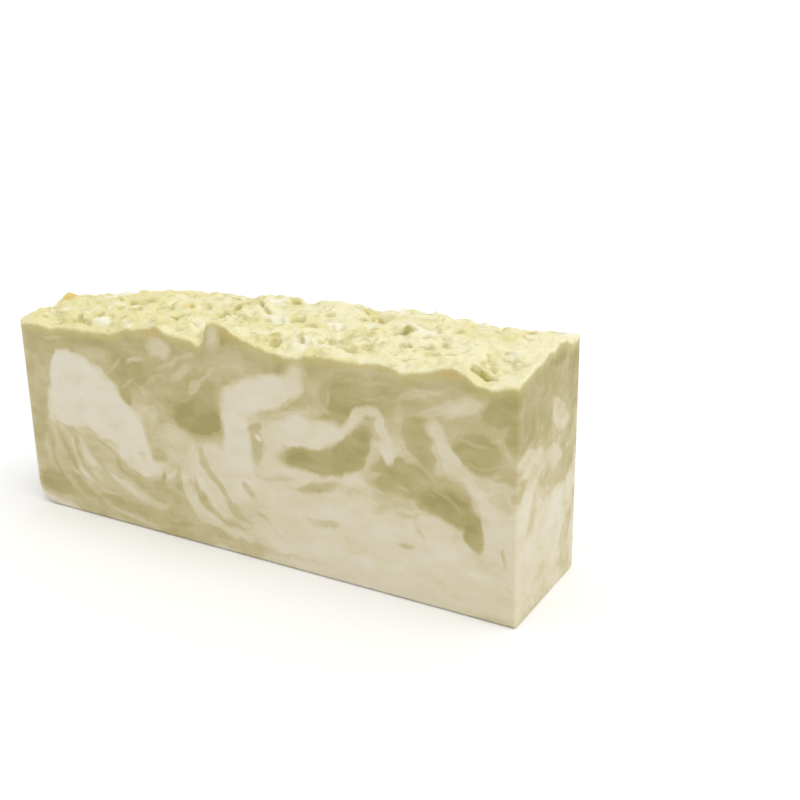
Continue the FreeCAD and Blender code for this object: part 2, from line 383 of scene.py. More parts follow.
# the pits and slits as listed, then the stray ones
def gougePlaces():
    size = gougeSize
    length, width = (cutEnd - mouldedEnd) / mm, (backWall - frontWall) / mm
    places = list(size["cuts"])
    for row in range(math.ceil(width / size["pitch"])):
        for column in range(math.ceil(length / size["pitch"])):
            dice = random.Random("{} {} {}".format(size["seed"], row, column))
            x = (column + 0.5 + dice.uniform(-size["stray"], size["stray"])) * size["pitch"]
            y = (row + 0.5 + dice.uniform(-size["stray"], size["stray"])) * size["pitch"]
            long = dice.uniform(*size["length"])
            turn = math.radians(dice.uniform(-size["turn"], size["turn"]))
            cut = (x, y, x + long * math.cos(turn), y + long * math.sin(turn))
            cut += (dice.uniform(*size["width"]), dice.uniform(*size["depth"]))
            if min(x, length - x - long, y, width - y) > size["margin"]:
                places.append(cut)
    return places


def makeGouges(tree):
    size = gougeSize
    bpy.ops.mesh.primitive_ico_sphere_add(subdivisions=2, radius=1.0, location=(0, 0, 0))
    first = bpy.context.active_object
    gouges = []
    for x1, y1, x2, y2, halfWidth, depth in gougePlaces():
        x, y = mouldedEnd + (x1 + x2) / 2 * mm, frontWall + (y1 + y2) / 2 * mm
        halfLength = (math.hypot(x2 - x1, y2 - y1) / 2 + halfWidth) * mm
        place = Vector((x, y, levelAt(tree, x, y) + size["over"]))
        turn = math.atan2(y2 - y1, x2 - x1)
        name = "gouge{}".format(len(gouges))
        deep = depth * mm + size["overShare"] * size["over"]
        gouges.append(placeChip(first, name, place, halfLength, halfWidth * mm, deep, turn, 0, 0))
    removeObject(first)
    joined = joinAll(gouges, "gouges")
    applyPlace(joined)
    remesh(joined, skinSize["gougeVoxel"])
    print("gouges:", len(gouges))
    return joined


def cutAway(loaf, tool):
    cut = loaf.modifiers.new("cut", "BOOLEAN")
    cut.operation = "DIFFERENCE"
    cut.solver = "MANIFOLD"
    cut.object = tool
    applyAll(loaf)
    removeObject(tool)


# joining it all into one skin

skinSize = {
    "voxel": 0.55 * mm,
    "flakeVoxel": 0.6 * mm,
    "gougeVoxel": 0.4 * mm,
    "quickCoarser": 1.8,
    "settle": 4,                 # passes of smoothing
    "settleFactor": 0.5,
    "wallSettle": 0.25,
    "calm": 40,                  # passes for the run of the surface that hollows are measured from
    "calmFactor": 0.6,
    "hollowDepth": 1.3 * mm,
    "pressFrom": 92.0 * mm,      # flakes over this height are pressed down into the loaf's own
    "triangles": 186000,
    "smoothAngle": 38.0,
}

rimSize = {
    "wall": 0.5 * mm,            # a point this near a wall counts as lying on it
    "step": 1.0 * mm,            # the rim's height is kept for places this far apart
    "depth": 6.0 * mm,           # how far down the walls the rim's colours reach
}

mouldSize = {
    "height": 0.2,
    "lean": 5.0 * mm,            # how far the moulded end's top edge comes in
    "cornerSteps": 8,
}


def remesh(obj, voxel):
    modifier = obj.modifiers.new("remesh", "REMESH")
    modifier.mode = "VOXEL"
    modifier.voxel_size = voxel * 1.0
    applyAll(obj)


# keeps only what lies between the walls, the mould's and the wire's cut
def trimToMould(flakes):
    half = mouldSize["height"] / 2
    bpy.ops.mesh.primitive_cube_add(size=1.0, location=(0, 0, half))
    mould = bpy.context.active_object
    mould.name = "mould"
    mould.scale = (cutEnd - mouldedEnd, backWall - frontWall, mouldSize["height"])
    applyPlace(mould)
    bpy.ops.object.mode_set(mode="EDIT")
    bpy.ops.mesh.select_mode(type="EDGE")
    bpy.ops.mesh.select_all(action="DESELECT")
    bpy.ops.object.mode_set(mode="OBJECT")
    for edge in mould.data.edges:
        a, b = (mould.data.vertices[index].co for index in edge.vertices)
        edge.select = abs(a.z - b.z) > half and a.x < 0
    bpy.ops.object.mode_set(mode="EDIT")
    bpy.ops.mesh.bevel(offset=blockSize["corner"], segments=mouldSize["cornerSteps"], affect="EDGES")
    bpy.ops.object.mode_set(mode="OBJECT")
    for vertex in mould.data.vertices:
        if vertex.co.z > half and vertex.co.x < 0:
            vertex.co.x += mouldSize["lean"]
    trim = flakes.modifiers.new("trim", "BOOLEAN")
    trim.operation = "INTERSECT"
    trim.solver = "MANIFOLD"
    trim.object = mould
    applyAll(flakes)
    removeObject(mould)


def makeLoaf():
    block = makePouredBlock()
    tree = BVHTree.FromPolygons(
        [vertex.co for vertex in block.data.vertices],
        [polygon.vertices[:] for polygon in block.data.polygons])
    flakes = makeFlakes(tree)
    remesh(flakes, skinSize["flakeVoxel"])
    trimToMould(flakes)
    print("flakes trimmed:", triangleCount(flakes), "triangles")
    sinkTop(block)
    loaf = joinAll([block, flakes], "marbledLoaf")
    remesh(loaf, skinSize["voxel"])
    print("one skin:", triangleCount(loaf), "triangles")
    cutAway(loaf, makeGouges(tree))
    remesh(loaf, skinSize["voxel"])
    return loaf


# weights for the smoothing: all of the broken top, and little of the flat walls and foot
def markTop(loaf):
    group = loaf.vertex_groups.new(name="top")
    high, low = [], []
    for vertex in loaf.data.vertices:
        (high if vertex.co.z > blockSize["topStarts"] else low).append(vertex.index)
    group.add(high, 1.0, "REPLACE")
    group.add(low, skinSize["wallSettle"], "REPLACE")


def settleLoaf(loaf):
    markTop(loaf)
    settle = loaf.modifiers.new("settle", "SMOOTH")
    settle.factor = skinSize["settleFactor"]
    settle.iterations = skinSize["settle"]
    settle.vertex_group = "top"
    applyAll(loaf)


# presses the highest flakes down, so that the loaf is no taller than the solid
def pressDown(loaf):
    start = skinSize["pressFrom"]
    highest = max(vertex.co.z for vertex in loaf.data.vertices)
    share = min(1.0, (loafHigh.z - start) / (highest - start))
    for vertex in loaf.data.vertices:
        if vertex.co.z > start:
            vertex.co.z = start + (vertex.co.z - start) * share


def rimCell(point):
    return round(point.x / rimSize["step"]), round(point.y / rimSize["step"])


# height of the rim over each place along the walls
def rimHeights(loaf):
    heights = {}
    for vertex in loaf.data.vertices:
        if vertex.co.z > blockSize["topStarts"] and wallDistance(vertex.co) < rimSize["wall"]:
            cell = rimCell(vertex.co)
            heights[cell] = max(heights.get(cell, 0.0), vertex.co.z)
    return heights


# 1 on the top and at the rim, falling to 0 further down the walls
def rimShare(point, heights):
    if wallDistance(point) > rimSize["wall"]:
        return 1.0 if point.z > blockSize["topStarts"] else 0.0
    column, row = rimCell(point)
    near = [heights.get((column + i, row + j)) for i in (-1, 0, 1) for j in (-1, 0, 1)]
    near = [height for height in near if height]
    if not near:
        return 0.0
    return min(max(1.0 - (sum(near) / len(near) - point.z) / rimSize["depth"], 0.0), 1.0)


def markRim(loaf, heights):
    rim = loaf.data.attributes.new("rim", "FLOAT", "POINT")
    rim.data.foreach_set("value", [rimShare(vertex.co, heights) for vertex in loaf.data.vertices])


# keeps how far each point of the top lies below the run of the surface round it, the mask for the painted shade in
# the top's hollows
def markHollowShade(loaf):
    calm = copyOf(loaf, "calm")
    smooth = calm.modifiers.new("calm", "SMOOTH")
    smooth.factor = skinSize["calmFactor"]
    smooth.iterations = skinSize["calm"]
    applyAll(calm)
    values = []
    for point, calmPoint in zip(loaf.data.vertices, calm.data.vertices):
        share = (calmPoint.co.z - point.co.z) / skinSize["hollowDepth"]
        values.append(min(max(share, 0.0), 1.0) if point.co.z > blockSize["topStarts"] else 0.0)
    removeObject(calm)
    hollow = loaf.data.attributes.new("hollow", "FLOAT", "POINT")
    hollow.data.foreach_set("value", values)


# fewer points where the loaf is flat, though not just below the rim
def thinLoaf(loaf, heights):
    group = loaf.vertex_groups.new(name="free")
    for vertex in loaf.data.vertices:
        band = 0.0 < rimShare(vertex.co, heights) < 1.0
        group.add([vertex.index], 0.0 if band else 1.0, "REPLACE")
    thin = loaf.modifiers.new("thin", "DECIMATE")
    thin.ratio = min(1.0, skinSize["triangles"] / triangleCount(loaf))
    thin.vertex_group = "free"
    thin.vertex_group_factor = 1.0
    applyAll(loaf)
    onlyThis(loaf)
    bpy.ops.object.shade_smooth_by_angle(angle=math.radians(skinSize["smoothAngle"]))
    print("loaf:", triangleCount(loaf), "triangles")


# camera, floor and light

photoView = {
    "round": 30.9,                          # degrees round from the front wall
    "above": 17.25,                         # degrees over level
    "roll": -1.17,
    "lens": 43.11,
    "frame": 36.0,                          # width that the lens is measured against
    "place": (111.9, -258.0, 166.9),        # mm from the front foot of the cut end
}


def makeCamera():
    view = photoView
    turn, rise, roll = (math.radians(view[key]) for key in ("round", "above", "roll"))
    back = Vector((math.sin(turn) * math.cos(rise), -math.cos(turn) * math.cos(rise), math.sin(rise)))
    right = Vector((math.cos(turn), math.sin(turn), 0))
    up = back.cross(right)
    rightRolled = right * math.cos(roll) + up * math.sin(roll)
    upRolled = up * math.cos(roll) - right * math.sin(roll)
    camera = bpy.data.cameras.new("photoCamera")
    camera.lens = view["lens"]
    camera.sensor_width = view["frame"]
    cameraObject = bpy.data.objects.new("photoCamera", camera)
    bpy.context.collection.objects.link(cameraObject)
    place = Vector((cutEnd, frontWall, 0)) + Vector(view["place"]) * mm
    turned = Matrix((rightRolled, upRolled, back)).transposed().to_4x4()
    cameraObject.matrix_world = Matrix.Translation(place) @ turned
    bpy.context.scene.camera = cameraObject


studioLight = {
    "sky": 0.84,
    "backdrop": 1.05,
    "sun": {"from": (0.45, -0.10, 1.0), "strength": 1.15, "spread": 50.0},
    "floor": {"size": 60.0, "colour": (0.93, 0.93, 0.93, 1), "roughness": 0.9},
}


def makeStudio():
    world = bpy.data.worlds.new("studio")
    world.use_nodes = True
    bpy.context.scene.world = world
    tree = world.node_tree
    background = tree.nodes["Background"]
    background.inputs["Color"].default_value = (1, 1, 1, 1)
    seen = addNode(tree, "ShaderNodeLightPath").outputs["Is Camera Ray"]
    strength = mixValue(tree, seen, studioLight["sky"], studioLight["backdrop"])
    tree.links.new(strength, background.inputs["Strength"])
    setup = studioLight["sun"]
    sun = bpy.data.lights.new("softbox", "SUN")
    sun.energy = setup["strength"]
    sun.angle = math.radians(setup["spread"])
    sunObject = bpy.data.objects.new("softbox", sun)
    bpy.context.collection.objects.link(sunObject)
    sunObject.rotation_euler = (-Vector(setup["from"])).to_track_quat("-Z", "Y").to_euler()
    setup = studioLight["floor"]
    bpy.ops.mesh.primitive_plane_add(size=setup["size"], location=(0, 0, 0))
    floor = bpy.context.active_object
    floor.name = "floor"
    paper = bpy.data.materials.new("whitePaper")
    paper.use_nodes = True
    shader = paper.node_tree.nodes["Principled BSDF"]
    shader.inputs["Base Color"].default_value = setup["colour"]
    shader.inputs["Roughness"].default_value = setup["roughness"]
    floor.data.materials.append(paper)
    bpy.context.scene.view_settings.view_transform = "Standard"


# the soap itself: cream and olive batter swirled together, then a pale broken top

soapColour = {
    # tone of the marbling, 0 for cream and 1 for the darkest olive, with its colour
    "marble": [
        (0.00, (0.695, 0.645, 0.508)),
        (0.25, (0.645, 0.580, 0.400)),
        (0.50, (0.545, 0.475, 0.268)),
        (0.75, (0.450, 0.382, 0.170)),
        (1.00, (0.345, 0.288, 0.095)),
    ],
    "topPale": (0.735, 0.675, 0.350),
    "topCream": (0.800, 0.750, 0.475),
    "topOlive": (0.510, 0.475, 0.165),
    "topAsh": (0.840, 0.820, 0.690),
    "topAmber": (0.680, 0.520, 0.140),
    # painted shade for the hollows of the top
    "topHollowShade": (0.290, 0.265, 0.060),
    # painted shade for the cracks between small flakes
    "topCreaseShade": (0.420, 0.390, 0.125),
    "rind": (0.540, 0.405, 0.140),
    "rimOlive": (0.560, 0.490, 0.190),
}

# Strokes of batter on the front wall, laid over one another in this order. Each is: middle X and Z,
# half length, half width, turn in degrees, tone, softness, strength, and the sag of its ends where
# it has one. All in mm.
frontStrokes = [
    # broad fields
    (-58, 72, 66, 18, 0, 0.74, 0.35, 1), (-108, 46, 42, 9, 90, 0.70, 0.6, 0.9),
    (-96, 28, 16, 12, 90, 0.56, 0.6, 0.8), (-45, 5, 60, 9, 0, 0.60, 0.6, 0.9),
    (64, 15, 76, 25, 0, 0.11, 0.45, 0.95), (20, 33, 30, 16, 0, 0.20, 0.5, 0.9),
    (-64, 23, 30, 11, -14, 0.42, 0.6, 0.8), (-28, 40, 14, 14, 0, 0.32, 0.5, 0.9),
    (-8, 34, 13, 16, 60, 0.14, 0.4, 0.9), (72, 72, 50, 15, 0, 0.60, 0.4, 0.95),
    (8, 78, 20, 8, 6, 0.56, 0.5, 0.9), (104, 36, 18, 12, 90, 0.36, 0.6, 0.8),
    # upper left
    (-80, 79, 28, 4.5, 1, 0.86, 0.6, 0.9), (-70, 73, 13, 3.2, 4, 0.55, 0.6, 0.8),
    (-104, 60, 10, 3, 88, 0.50, 0.7, 0.7), (-103, 47, 8, 3.2, 100, 0.74, 0.6, 0.8),
    (-50, 68, 12, 8, -20, 0.88, 0.6, 0.9), (-54, 57, 6, 5, -40, 0.92, 0.4, 0.9),
    (-30, 67, 14, 7, 20, 0.70, 0.6, 0.8), (-22, 71, 8, 2.4, 30, 0.52, 0.7, 0.8),
    (-24, 62, 13, 2.6, 36, 0.84, 0.6, 0.7), (-33, 79, 7.5, 4.6, -4, 0.28, 0.6, 0.9, 0.8),
    (-45, 72, 6, 1.6, 14, 0.42, 0.6, 0.8), (-42, 60, 5, 2, -25, 0.62, 0.7, 0.7),
    (-5, 77, 7, 7, 70, 0.62, 0.6, 0.8), (-5, 88, 8, 5, 84, 0.34, 0.7, 0.9),
    # the dark pool and what lies round it
    (-15, 54, 14, 7.5, 6, 1.00, 0.3, 1, 1.5), (-11, 62, 8.5, 7, 40, 0.88, 0.5, 0.9),
    (-15, 66, 5, 2.4, 52, 0.46, 0.5, 0.9), (-43, 45, 8, 3.2, 98, 0.60, 0.6, 0.8),
    (-38, 43.5, 4, 1.5, 10, 0.58, 0.7, 0.8), (-39, 35, 6, 4, -15, 0.62, 0.5, 0.85),
    (-33, 30, 6, 3, 30, 0.44, 0.7, 0.7),
    # the great cream patch
    (-85, 60, 12, 13, -4, 0.04, 0.2, 1), (-84, 51, 15.5, 11, -6, 0.06, 0.2, 1),
    (-75, 58, 21, 13, -20, 0.02, 0.2, 1), (-69, 50, 25, 12, -24, 0.03, 0.2, 1),
    (-56, 43, 13, 9.5, -30, 0.06, 0.22, 1), (-55.5, 33, 5, 4.5, -40, 0.08, 0.35, 1),
    (-82, 50, 8, 4, -12, 0.17, 0.8, 0.9), (-66, 66, 7, 2.2, -38, 0.30, 0.7, 0.7),
    (-88, 38.5, 9, 1.6, -16, 0.60, 0.8, 0.8), (-68, 33.5, 9, 1.5, -22, 0.64, 0.8, 0.8),
    (-48, 20.5, 14, 2.8, -6, 0.68, 0.7, 0.85, 3), (-60, 27, 5, 1.6, -55, 0.70, 0.7, 0.8),
    (-46.5, 27, 10, 3, 2, 0.10, 0.35, 1, 1.2), (-47, 33, 3, 1.4, -50, 0.42, 0.7, 0.7),
    (-37, 24.5, 3.2, 1.4, 70, 0.78, 0.5, 0.9),
    # bowls of thin streaks at the lower left
    (-97, 29, 12, 2.6, -80, 0.44, 0.7, 0.8), (-104, 24, 10, 1.4, -86, 0.38, 0.7, 0.7),
    (-90, 26, 17, 2.2, -60, 0.74, 0.7, 0.85, 2.6), (-85, 27, 13, 1.7, -58, 0.24, 0.7, 0.9, 2.2),
    (-82, 24, 13, 1.6, -54, 0.66, 0.7, 0.8, 2.5), (-78.5, 27.5, 9, 3.2, -52, 0.18, 0.7, 0.9, 1.5),
    (-99.5, 22, 15, 1.8, -78, 0.74, 0.7, 0.7, 2), (-101, 11, 13, 9, 0, 0.86, 0.5, 0.9),
    (-84, 13, 12, 3.2, -30, 0.76, 0.6, 0.85, 1), (-68, 21, 13, 2.2, -36, 0.70, 0.7, 0.85, 2),
    (-57, 16.5, 19, 2.4, -18, 0.20, 0.6, 0.95, 3.2), (-42, 12.5, 13, 2, 4, 0.26, 0.7, 0.85, 1.4),
    (-58, 8, 22, 2.8, -9, 0.76, 0.7, 0.88, 2.6), (-76, 17, 8, 1.2, -34, 0.40, 0.7, 0.7, 1),
    (-55, 4.5, 20, 1.5, -4, 0.40, 0.8, 0.7, 1), (-30, 6.5, 16, 1.8, 3, 0.74, 0.7, 0.7, 1),
    (-93, 4.5, 8, 1.2, -10, 0.50, 0.8, 0.7), (-33, 14, 7, 3, 80, 0.60, 0.7, 0.7),
    # bowls of thin streaks below the dark pool
    (-22.5, 21, 12, 2.6, -58, 0.16, 0.6, 0.9, 3.4), (-26, 20, 13, 1.8, -64, 0.66, 0.7, 0.88, 3.4),
    (-14.5, 19, 12.5, 2, -50, 0.68, 0.7, 0.88, 3.2), (-9.5, 23, 12, 2, -46, 0.18, 0.6, 0.8, 3),
    (-10.5, 31, 17, 2.2, -54, 0.67, 0.7, 0.9, 3.8), (-3, 13, 10, 1.4, -12, 0.58, 0.7, 0.8, 1.6),
    (-12, 10, 10, 1.5, -20, 0.30, 0.7, 0.8, 1.6), (-9, 6.5, 8, 2.2, -16, 0.78, 0.7, 0.8, 1),
    (2, 18, 9, 1.7, -26, 0.50, 0.7, 0.85, 1.4),
    # middle cream column and its wing
    (4, 44, 25, 8.5, 92, 0.09, 0.35, 1), (16, 68, 21, 7.4, 17, 0.07, 0.35, 1, -1),
    (31, 76, 9, 5.5, 64, 0.26, 0.8, 0.9), (15, 77, 7, 2, 18, 0.72, 0.6, 0.8),
    (20, 52, 8, 7, 80, 0.22, 0.5, 0.9), (29, 61, 16, 3.5, 20, 0.36, 0.7, 0.8),
    (33, 67, 7, 2.6, 38, 0.62, 0.6, 0.85), (25, 64, 9, 1.5, 40, 0.50, 0.8, 0.8),
    (12, 47.5, 9, 3.6, 84, 0.60, 0.55, 0.95), (12.5, 53.5, 4.4, 2.8, 10, 0.74, 0.6, 0.95),
    (13, 49.5, 1.6, 1.2, 0, 0.05, 0.5, 1),
    # upper right
    (58, 72, 19, 9, 4, 0.82, 0.5, 0.9), (51, 70, 10, 6, 82, 0.92, 0.5, 0.9),
    (45, 61, 9, 3.6, 12, 0.86, 0.4, 0.95), (36, 56, 19, 6.6, 8, 0.12, 0.35, 1),
    (41, 54, 9, 3.2, 10, 0.05, 0.7, 0.8), (57, 64.5, 9.5, 2.6, 40, 0.22, 0.5, 0.95, -0.6),
    (64, 67.5, 3.4, 2.8, 0, 0.24, 0.6, 0.9), (73.5, 68, 9, 3, 84, 0.56, 0.8, 0.65),
    (81, 62, 7, 10, -8, 0.84, 0.5, 0.9), (83, 76.5, 13, 1.5, 14, 0.42, 0.8, 0.85),
    (90, 73, 14, 1.8, 18, 0.38, 0.8, 0.85), (98, 74.5, 9.5, 3.6, 26, 0.32, 0.6, 0.9),
    (86, 74.5, 10, 0.9, 15, 0.72, 0.8, 0.7), (80, 70, 8, 1.2, 14, 0.56, 0.8, 0.7),
    (72, 79, 24, 2.4, 2, 0.80, 0.7, 0.8), (111, 74, 9, 4.6, 2, 0.88, 0.45, 0.95),
    (104, 60, 10.5, 8, -6, 0.82, 0.35, 0.95), (114, 55, 5, 6, 0, 0.66, 0.7, 0.8),
    # the long dark crescent and the band it runs into
    (80, 45, 25, 6.8, -4, 0.74, 0.45, 0.95), (40, 45.5, 20, 5.6, 5, 0.84, 0.45, 1, 2.2),
    (36, 45.5, 12, 2.6, 4, 0.92, 0.8, 0.9, 0.6), (55, 52, 14, 6, 44, 0.88, 0.35, 1, 1.5),
    (85, 53, 6, 5, 0, 0.78, 0.6, 0.8), (92, 39, 14, 6.5, -14, 0.90, 0.4, 0.95),
    (102, 32, 8, 4.2, -76, 0.90, 0.35, 0.95), (76, 37, 8, 2.4, 28, 0.56, 0.7, 0.8),
    (78, 33.5, 8, 1.2, 16, 0.62, 0.7, 0.8), (63.5, 46, 3.4, 1.4, 6, 0.44, 0.7, 0.8),
    (75, 42.5, 3.6, 1.4, -8, 0.56, 0.7, 0.7), (69.5, 55.5, 6.4, 3.6, -78, 0.16, 0.45, 0.95),
    (67, 62.5, 6.5, 2.3, -76, 0.24, 0.5, 0.95), (40.5, 35.5, 12, 2.7, 17, 0.72, 0.6, 0.95, 1.2),
    (36, 34.5, 6, 1.6, 10, 0.70, 0.6, 0.8), (21, 35.5, 11, 1.6, 8, 0.42, 0.8, 0.85, 0.6),
    (26, 40, 9, 1.4, 2, 0.12, 0.7, 0.8),
    # cream hook at the right
    (88, 65, 6, 4.4, -50, 0.28, 0.5, 0.95), (93.5, 57, 9, 3.6, -58, 0.18, 0.5, 0.95),
    (100.5, 49, 8, 2.8, -46, 0.20, 0.5, 0.95), (107, 41, 6, 2.8, -48, 0.22, 0.5, 0.9),
    (110, 49, 9, 1.6, -40, 0.42, 0.7, 0.8), (110, 31, 10, 2.4, -84, 0.16, 0.6, 0.9),
    (112, 44, 5, 2.4, -50, 0.56, 0.7, 0.7), (112.5, 24.5, 4.4, 1.4, 88, 0.66, 0.6, 0.85),
    (115, 14.5, 3, 1.2, -10, 0.54, 0.7, 0.7),
    # wisps drawn through the darker fields
    (-58, 69, 9, 1.2, 32, 0.60, 0.8, 0.8), (-52, 62, 8, 1, 27, 0.64, 0.8, 0.7),
    (-37, 66, 8, 1.2, 34, 0.58, 0.8, 0.8), (-28, 74, 9, 1.2, 26, 0.52, 0.8, 0.8),
    (-19, 78, 8, 1.2, 12, 0.54, 0.8, 0.8), (-9, 71, 7, 1.4, 36, 0.48, 0.8, 0.8),
    (-92, 77, 9, 1.4, 6, 0.50, 0.8, 0.8), (61, 78, 13, 1, 5, 0.62, 0.8, 0.8),
    (66, 73.5, 9, 1, 10, 0.60, 0.8, 0.8), (46.5, 71, 7, 1.3, 84, 0.62, 0.8, 0.8),
    (101, 63, 9, 1, -5, 0.64, 0.8, 0.8), (106, 56.5, 8, 1, 8, 0.66, 0.8, 0.7),
    (84, 50, 10, 1.1, -34, 0.58, 0.8, 0.8), (92, 42.5, 9, 1, -38, 0.64, 0.8, 0.7),
    # small dashes in the lower cream
    (7, 28, 4.8, 1.6, -46, 0.56, 0.6, 0.9), (13, 19.5, 4.5, 1.4, -22, 0.46, 0.7, 0.85),
    (41, 22, 10, 1.6, 2, 0.52, 0.7, 0.9, 1), (75.5, 21.5, 5, 1.6, 4, 0.60, 0.6, 0.9),
    (82, 27.5, 4.8, 1.5, -54, 0.50, 0.7, 0.85), (66, 33, 5, 2.6, 40, 0.50, 0.7, 0.85),
    (19, 15, 8, 1.8, -34, 0.34, 0.8, 0.8, 1), (57, 14, 6, 2.4, 5, 0.30, 0.8, 0.7),
    (96, 8, 7, 2, -8, 0.28, 0.8, 0.6), (22, 5, 22, 1.8, -2, 0.38, 0.8, 0.7),
]

# White ash, amber and olive spots on the broken top, laid like the strokes. The second number is Y,
# and the tone is 1.
ashSpots = [
    (-86, 9, 10, 5, 6, 1, 0.6, 0.9), (-68, -20, 8, 3, -6, 1, 0.6, 0.8),
    (-68, -6, 9, 2.2, 0, 1, 0.6, 0.7, -2), (-3, 10.5, 7, 4.4, -5, 1, 0.6, 0.9),
    (10, -6, 9, 3, -5, 1, 0.7, 0.7), (34, -20, 10, 3, 4, 1, 0.8, 0.6),
    (-20, -16, 8, 3, 10, 1, 0.8, 0.5), (70, -2, 9, 4, 4, 1, 0.8, 0.6),
]
amberSpots = [
    (-110, 0, 5, 4, 10, 1, 0.5, 0.95), (-69, 33, 5, 3, 0, 1, 0.5, 0.9),
    (-52.5, 13, 5.5, 4, 5, 1, 0.6, 0.8), (-36, -3, 5, 3.6, 20, 1, 0.7, 0.5),
    (45, 17.5, 7, 2, -4, 1, 0.5, 0.95), (62.5, 21, 6, 3.6, 8, 1, 0.5, 0.95),
    (85, 24, 5, 2.4, 0, 1, 0.6, 0.8), (-92, 18, 6, 2, 4, 1, 0.7, 0.5),
    (14, 16, 6, 2, -8, 1, 0.7, 0.5),
]
oliveSpots = [
    (-44, -1.5, 2.4, 3, 0, 1, 0.6, 0.95), (-25, 10.5, 6, 1.8, -8, 1, 0.6, 0.8),
    (-11.5, 0.5, 2.6, 4, -20, 1, 0.6, 0.8), (-25, 24, 2.2, 4.6, -25, 1, 0.6, 0.8),
    (5, 14.5, 4.4, 2.8, 0, 1, 0.6, 0.8), (-34.5, -12, 3, 3, 0, 1, 0.6, 0.7),
    (17.8, -18, 2.4, 2.8, 0, 1, 0.6, 0.9), (46, -14, 4, 4.4, 30, 1, 0.7, 0.6),
    (64, -3.7, 2.6, 2.4, 0, 1, 0.6, 0.9), (45, 14.5, 7, 1.4, -4, 1, 0.6, 0.8),
    (62.5, 17, 5, 1.8, 10, 1, 0.6, 0.8), (94, 10, 4, 2, 0, 1, 0.7, 0.6),
    (102, -19, 6, 1.8, -4, 1, 0.6, 0.9),
]

# Tan rind along the front rim, laid like the strokes on the front wall.
rindSpots = [
    (-36, 86, 7, 4.4, 0, 1, 0.7, 0.85), (-58, 82, 7, 2, 4, 1, 0.8, 0.45),
    (3, 87, 8, 3.6, -8, 1, 0.8, 0.65), (42, 84, 7, 2, 2, 1, 0.8, 0.55),
    (94, 85.5, 9, 2.6, 4, 1, 0.7, 0.85), (70, 85, 8, 1.6, 0, 1, 0.8, 0.45),
    (-84, 82.5, 9, 1.6, 0, 1, 0.8, 0.4),
]

# Strokes on the cut end, where the first number is Y.
cutStrokes = [
    (0, 72, 30, 16, 0, 0.78, 0.4, 0.95), (-8, 22, 34, 26, 0, 0.18, 0.5, 0.9),
    (-22, 66, 9, 6, 10, 0.88, 0.4, 0.9), (-6, 52, 14, 4, -20, 0.50, 0.5, 0.8, -2),
    (8, 64, 10, 5, -35, 0.30, 0.4, 0.9, 2), (14, 44, 13, 6, 20, 0.80, 0.4, 0.9, 3),
    (-14, 36, 10, 3, 55, 0.55, 0.5, 0.8, 2), (4, 30, 14, 7, 30, 0.05, 0.4, 0.9, 2),
    (18, 20, 9, 4, 60, 0.66, 0.5, 0.8, 2), (-10, 12, 12, 2.5, 10, 0.45, 0.6, 0.8, 2),
]

# Strokes on the moulded end, where the first number is Y too.
mouldedStrokes = [
    (0, 68, 30, 18, 0, 0.80, 0.4, 0.95), (4, 54, 15, 10, -30, 0.04, 0.3, 0.95),
    (-12, 40, 12, 5, 40, 0.70, 0.5, 0.9, 2), (12, 30, 14, 8, 20, 0.20, 0.4, 0.9, -2),
    (-10, 20, 13, 4, -25, 0.62, 0.5, 0.8, 2), (8, 8, 18, 6, 5, 0.72, 0.5, 0.9),
    (-6, 74, 10, 3, 15, 0.36, 0.5, 0.8),
]


# where each set of strokes lies: which way it faces, the place of its wall and how far in it
# reaches, in mm
strokeWalls = {
    "front": ("front", frontWall * toMm, 14.0),
    "rind": ("front", frontWall * toMm, 4.0),
    "cutEnd": ("end", cutEnd * toMm, 6.0),
    "mouldedEnd": ("end", mouldedEnd * toMm, 8.0),
    "top": ("top", 85.0, 40.0),          # a height among the flakes, and a reach past all of them
}

# kinds of noise in the soap: size in mm, detail, roughness, and the stretch of some
soapNoise = {
    "wander": (13.0, 2.0, 0.55),
    "quiver": (3.6, 2.0, 0.6),
    "drift": (42.0, 1.0, 0.5),
    "broad": (24.0, 3.0, 0.55, (0.6, 1.0, 1.0)),
    "bands": (1.0, 2.0, 0.6),
    "streaks": (3.2, 3.0, 0.6, (0.35, 1.0, 1.0)),
    "clouds": (8.5, 2.0, 0.55, (0.6, 1.0, 1.2)),
    "rim": (4.0, 3.0, 0.6),
    "topBroad": (11.0, 2.0, 0.5),
    "topOlive": (7.0, 2.0, 0.6),
    "topAsh": (9.0, 3.0, 0.6),
    "topAmber": (8.0, 2.0, 0.5),
    "crackPatches": (8.0, 2.0, 0.6),
    "finePatches": (5.0, 2.0, 0.6),
    "crumbs": (1.9, 3.0, 0.6),
    "smears": (2.6, 2.0, 0.6, (0.22, 0.22, 1.0)),
}

